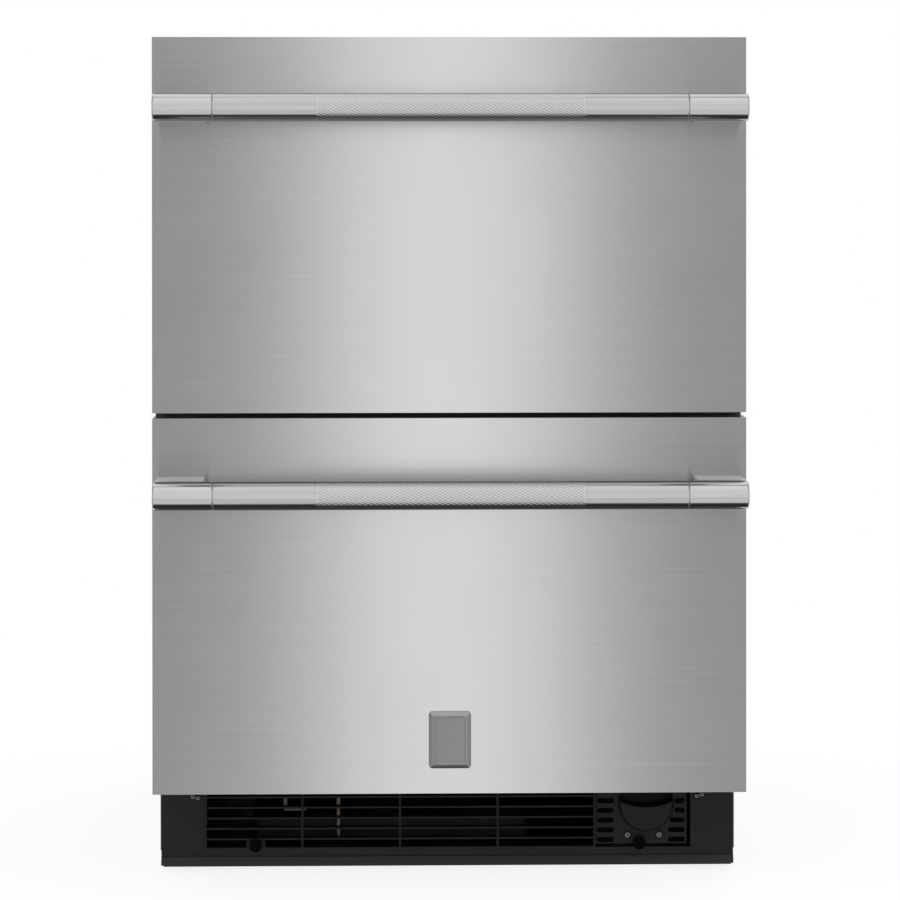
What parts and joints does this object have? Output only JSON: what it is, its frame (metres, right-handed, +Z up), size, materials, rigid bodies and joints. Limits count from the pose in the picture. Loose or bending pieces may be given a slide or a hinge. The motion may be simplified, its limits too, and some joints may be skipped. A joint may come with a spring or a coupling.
{
  "type": "under counter fridge",
  "caption": "Built-in undercounter fridge with stainless drawer fronts, bar handles with knurled grips, ball-bearing slides, a vented toe kick and a working cooling system inside.",
  "frame": {"origin": "on the floor, under the centre of the overall box, handles included", "axes": "+Z up, the drawers face -Y and open towards -Y, +X to the right as seen from the front"},
  "size_m": [0.604, 0.67, 0.872],
  "materials": {
    "cabinet_steel": "satin",
    "rear_sheet": "satin",
    "liner_plastic": "satin",
    "insulation": "matte",
    "base_steel": "satin",
    "grille_plastic": "satin",
    "screw_steel": "polished",
    "knob_plastic": "satin",
    "zinc_steel": "satin",
    "compressor_paint": "gloss",
    "rubber_parts": "matte",
    "condenser_paint": "satin",
    "fan_plastic": "satin",
    "motor_metal": "satin",
    "pan_plastic": "matte",
    "copper": "satin",
    "fin_aluminium": "satin",
    "cover_plastic": "satin",
    "panel_plastic": "gloss",
    "display_glass": "gloss",
    "button_plastic": "satin",
    "led_diffuser": "satin",
    "cord_rubber": "matte",
    "leg_plastic": "matte",
    "brushed_front": "satin",
    "gasket_rubber": "matte",
    "handle_steel": "satin",
    "handle_cap_steel": "satin",
    "tub_plastic": "satin",
    "divider_plastic": "satin",
    "badge_metal": "satin"
  },
  "bodies": {
    "cabinet": {"cabinet_wrapper": "cabinet_steel", "rear_panel": "rear_sheet", "inner_liner": "liner_plastic", "foam_insulation": "insulation", "center_mullion": "cabinet_steel", "base_pan": "base_steel", "toe_kick_frame": "base_steel", "base_grille": "grille_plastic", "access_cover": "grille_plastic", "base_screws": "screw_steel", "grille_thumbscrews": "knob_plastic", "countertop_brackets": "zinc_steel", "compressor": "compressor_paint", "compressor_grommets": "rubber_parts", "condenser_coil": "condenser_paint", "condenser_fan_shroud": "fan_plastic", "condenser_fan_motor": "motor_metal", "drain_pan": "pan_plastic", "refrigerant_tubing": "copper", "evaporator_coil": "fin_aluminium", "evaporator_cover": "cover_plastic", "evaporator_fan_motor": "motor_metal", "control_panel": "panel_plastic", "display_lens": "display_glass", "led_light_bar": "led_diffuser", "power_cord": "cord_rubber", "slide_cabinet_members": "zinc_steel"},
    "upper_drawer": {"upper_front_skin": "brushed_front", "upper_front_foam": "insulation", "upper_front_liner": "liner_plastic", "upper_gasket": "gasket_rubber", "upper_handle_bar": "handle_steel", "upper_handle_ends": "handle_cap_steel", "upper_handle_screws": "screw_steel", "upper_tub": "tub_plastic", "upper_slide_inner": "zinc_steel"},
    "upper_slide": {"upper_slide_middle": "zinc_steel"},
    "upper_divider_body": {"upper_divider": "divider_plastic"},
    "lower_drawer": {"lower_front_skin": "brushed_front", "lower_front_foam": "insulation", "lower_front_liner": "liner_plastic", "lower_gasket": "gasket_rubber", "lower_handle_bar": "handle_steel", "lower_handle_ends": "handle_cap_steel", "lower_handle_screws": "screw_steel", "lower_tub": "tub_plastic", "lower_slide_inner": "zinc_steel", "lower_badge": "badge_metal"},
    "lower_slide": {"lower_slide_middle": "zinc_steel"},
    "leg_front_left_body": {"leg_front_left": "leg_plastic"},
    "leg_front_right_body": {"leg_front_right": "leg_plastic"},
    "leg_rear_left_body": {"leg_rear_left": "leg_plastic"},
    "leg_rear_right_body": {"leg_rear_right": "leg_plastic"},
    "power_button_body": {"power_button": "button_plastic"},
    "warmer_button_body": {"warmer_button": "button_plastic"},
    "cooler_button_body": {"cooler_button": "button_plastic"},
    "condenser_fan": {"condenser_fan_blade": "fan_plastic"},
    "evaporator_fan": {"evaporator_fan_blade": "fan_plastic"}
  },
  "joints": [
    {"name": "upper_drawer_slide", "type": "slide", "parent": "cabinet", "child": "upper_drawer", "axis": [0, -1, 0], "range_m": [0, 0.42]},
    {"name": "upper_slide_extend", "type": "slide", "parent": "cabinet", "child": "upper_slide", "axis": [0, -1, 0], "range_m": [0, 0.21]},
    {"name": "lower_drawer_slide", "type": "slide", "parent": "cabinet", "child": "lower_drawer", "axis": [0, -1, 0], "range_m": [0, 0.42]},
    {"name": "lower_slide_extend", "type": "slide", "parent": "cabinet", "child": "lower_slide", "axis": [0, -1, 0], "range_m": [0, 0.21]},
    {"name": "upper_divider_slide", "type": "slide", "parent": "upper_drawer", "child": "upper_divider_body", "axis": [1, 0, 0], "range_m": [-0.2, 0.2]},
    {"name": "leg_front_left_extend", "type": "slide", "parent": "cabinet", "child": "leg_front_left_body", "axis": [0, 0, -1], "range_m": [0, 0.025]},
    {"name": "leg_front_right_extend", "type": "slide", "parent": "cabinet", "child": "leg_front_right_body", "axis": [0, 0, -1], "range_m": [0, 0.025]},
    {"name": "leg_rear_left_extend", "type": "slide", "parent": "cabinet", "child": "leg_rear_left_body", "axis": [0, 0, -1], "range_m": [0, 0.025]},
    {"name": "leg_rear_right_extend", "type": "slide", "parent": "cabinet", "child": "leg_rear_right_body", "axis": [0, 0, -1], "range_m": [0, 0.025]},
    {"name": "power_button_press", "type": "slide", "parent": "cabinet", "child": "power_button_body", "axis": [0, 1, 0], "range_m": [0, 0.001], "stiffness_N_per_m": 1500},
    {"name": "warmer_button_press", "type": "slide", "parent": "cabinet", "child": "warmer_button_body", "axis": [0, 1, 0], "range_m": [0, 0.001], "stiffness_N_per_m": 1500},
    {"name": "cooler_button_press", "type": "slide", "parent": "cabinet", "child": "cooler_button_body", "axis": [0, 1, 0], "range_m": [0, 0.001], "stiffness_N_per_m": 1500},
    {"name": "condenser_fan_spin", "type": "hinge", "parent": "cabinet", "child": "condenser_fan", "pos_m": [0.01, 0.222, 0.145], "axis": [1, 0, 0], "continuous": true},
    {"name": "evaporator_fan_spin", "type": "hinge", "parent": "cabinet", "child": "evaporator_fan", "pos_m": [0, 0.25, 0.748], "axis": [0, 1, 0], "continuous": true}
  ],
  "couplings": [
    {"joint": "upper_slide_extend", "follows": "upper_drawer_slide", "ratio": 0.5},
    {"joint": "lower_slide_extend", "follows": "lower_drawer_slide", "ratio": 0.5}
  ]
}
